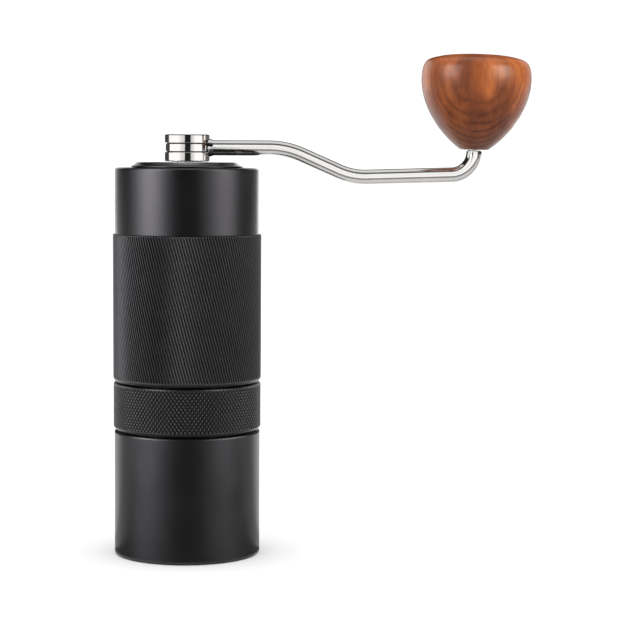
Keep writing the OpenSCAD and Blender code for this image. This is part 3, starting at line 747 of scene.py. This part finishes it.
def area(name, place, aim, w, h, radiance, tint=(1, 1, 1), lights=None, glossy=True):
    """A rectangular soft box of the given brightness, which lights only the named finish."""
    light = bpy.data.lights.new(name, "AREA")
    light.shape = "RECTANGLE"
    light.size, light.size_y = w, h
    light.energy = radiance * math.pi * w * h
    light.color = tint
    obj = bpy.data.objects.new(name, light)
    bpy.context.scene.collection.objects.link(obj)
    obj.location = place
    direction = Vector(aim) - Vector(place)
    obj.rotation_euler = direction.to_track_quat("-Z", "Y").to_euler()
    obj.visible_camera = False
    obj.visible_glossy = glossy
    if lights:
        obj.light_linking.receiver_collection = groups[lights]
    return obj


def upright(name, az0, az1, z0, z1, dist, radiance, lights, tint=(1, 1, 1)):
    """A flat upright soft box that fills the azimuths az0 to az1, dist away from the grinder's axis."""
    mid, half = math.radians((az0 + az1) / 2), math.radians(abs(az1 - az0) / 2)
    z = (z0 + z1) / 2
    return area(name, (dist * math.sin(mid), -dist * math.cos(mid), z), (0, 0, z), 2 * dist * math.tan(half), z1 - z0, radiance, tint, lights)


COOL, MAUVE = (1.01, 0.975, 1.06), (1.02, 0.975, 1.03)
CAM_AZ = 3.6  # the camera stands this many degrees to the right of the body's front


def strips(name, lights, dist, z0, z1, bands, tint=(1, 1, 1)):
    """Upright soft boxes side by side. Each band is (from, to, radiance), in degrees from the camera's side."""
    for i, (a, b, radiance) in enumerate(bands):
        upright("%s_%d" % (name, i), a + CAM_AZ, b + CAM_AZ, z0, z1, dist, radiance, lights, tint)


def floor_card(name, points, strength):
    reflector(name, [(x, y, 0.0012) for x, y in points], [tuple(range(len(points)))], strength)


def ceiling_card(name, y0, y1, strength):
    reflector(name, [(-3, y0, 3.2), (3, y0, 3.2), (3, y1, 3.2), (-3, y1, 3.2)], [(0, 1, 2, 3)], strength)


# dark surround, open straight behind, and a dark floor in front, for reflections only
wall("flag_surround", -172, 172, -0.05, 3.2, 2.6, 0.012, steps=48)
wall("flag_back", 172, 188, 0.62, 3.2, 2.6, 0.012)
floor_card("flag_floor", [(-2.6, -2.6), (2.6, -2.6), (2.6, 0.25), (0, 0), (-2.6, -0.07)], 0.17)
floor_card("grey_floor_left", [(-2.6, -0.07), (0, 0), (-2.6, 1.59)], 0.6)
floor_card("grey_floor_right", [(2.6, 0.25), (2.6, 2.08), (0, 0)], 0.6)
ceiling_card("ceiling_front", -3.0, -2.66, 1.0)
ceiling_card("ceiling_strip", -2.66, -0.76, 0.1)
ceiling_card("ceiling_back", -0.76, 3.0, 0.82)
# body and lid: graded strips left and right, rim strips and one overhead
strips("body_left", "body", 1.7, 0.0, 1.9, [(-98, -86, 1.1), (-86, -74, 3.9), (-74, -50, 8.3), (-50, -38, 4.9), (-38, -24, 1.25)], COOL)
strips("body_right", "body", 1.7, 0.0, 1.9, [(24, 38, 1.25), (38, 50, 3.0), (50, 74, 4.75), (74, 86, 2.2), (86, 98, 0.2)], MAUVE)
strips("body_rim", "body", 1.7, 0.0, 0.8, [(-176, -150, 1.5), (-150, -128, 0.2), (128, 150, 0.2), (150, 176, 2.7)])
area("body_top", (0, -0.05, 3.0), (0, -0.05, 0), 1.1, 1.5, 5.4, (1.02, 0.99, 0.97), lights="body")
# cup: the same strips, which it shows through the edge of its highlight
strips("cup_left", "cup", 1.7, 0.0, 1.25, [(-98, -86, 4.4), (-86, -50, 11.1), (-50, -38, 6.5), (-38, -24, 2.1)], COOL)
strips("cup_right", "cup", 1.7, 0.0, 1.25, [(24, 38, 2.4), (38, 50, 5.0), (50, 74, 8.2), (74, 98, 5.0), (98, 112, 1.2)], MAUVE)
# grip and grind ring: strips from both sides that catch the ridges, and a low fill
strips("grip_left", "grip", 1.7, 0.0, 1.25, [(-165, -130, 0.6), (-130, -98, 2.1), (-72, -44, 3.8)], COOL)
strips("grip_right", "grip", 1.7, 0.0, 1.25, [(44, 70, 3.2), (104, 136, 1.6), (136, 165, 0.8)], COOL)
strips("grip_high", "grip", 1.7, 1.5, 2.9, [(-80, -44, 9.0), (44, 80, 7.0)])
area("grip_floor", (0, -0.9, 0.003), (0, -0.9, 1.0), 3.0, 3.0, 0.2, lights="grip")
# crank head: white cards with a gap at the camera that fades in on either side
strips("hub_cards", "hub", 0.9, 0.0, 0.38, [
    (-168, -108, 0.05), (-108, -74, 1.24), (-74, -40, 1.24), (-40, -28, 1.02), (-28, -13, 0.84), (18, 27, 0.74), (27, 38, 0.95),
    (38, 71, 1.24), (71, 105, 1.24), (105, 112, 0.4), (112, 168, 0.14)])
area("hub_floor", (0.05, 0.05, 0.003), (0.05, 0.05, 1.0), 1.4, 0.78, 0.6, lights="hub")
# crank rod: a tall front card and a pale floor, with a dark gap between them
area("rod_front_low", (0.4, -0.5, 0.108), (0.4, 0, 0.108), 0.82, 0.194, 1.1, lights="rod")
area("rod_front_left", (-0.48, -0.5, 0.15), (-0.48, 0, 0.15), 0.5, 0.3, 1.1, lights="rod")
upright("rod_left", -112, -64, 0.03, 0.5, 0.85, 1.0, "rod")
area("rod_front_high", (0.05, -1.6, 1.165), (0.05, 0, 1.165), 4.4, 1.63, 1.1, lights="rod")
area("rod_floor", (0.05, -0.0875, 0.003), (0.05, -0.0875, 1.0), 1.4, 0.175, 0.57, lights="rod")
area("rod_floor_front", (0.05, -0.36, 0.003), (0.05, -0.36, 1.0), 1.4, 0.36, 0.1, lights="rod")
# wood: a soft box either side and a rim from the left
upright("wood_left", -74, -42, 0.25, 1.25, 1.5, 7.4, "wood", (1.0, 0.93, 0.90))
upright("wood_right", 38, 72, 0.25, 1.25, 1.5, 8.4, "wood", (1.0, 0.91, 0.78))
upright("wood_rim", -165, -120, 0.02, 1.0, 1.5, 1.6, "wood")
upright("wood_rim_right", 125, 160, 0.02, 1.0, 1.5, 0.8, "wood")
# overhead light for the floor and every diffuse surface
area("top_soft", (0, -0.2, 2.6), (0, -0.2, 0), 3.0, 3.0, 1.0, glossy=False)

# ---------------------------------------------------------------- camera
cam_data = bpy.data.cameras.new("camera")
cam = bpy.data.objects.new("camera", cam_data)
bpy.context.scene.collection.objects.link(cam)
cam_data.sensor_fit = "AUTO"
cam_data.sensor_width = 36.0
cam_data.lens = 2000.0 / 630.0 * 36.0
cam_data.clip_start = 0.01
cam_data.clip_end = 50.0
pitch = math.radians(4.7)
roll = math.radians(0.3)
cam.location = (0.0482, -0.764, 0.1547)
look = Matrix.Rotation(math.pi / 2 - pitch, 4, "X")
cam.rotation_euler = (look @ Matrix.Rotation(roll, 4, "Z")).to_euler()
bpy.context.scene.camera = cam

bpy.context.scene.view_settings.view_transform = "Standard"
bpy.context.scene.view_settings.look = "None"
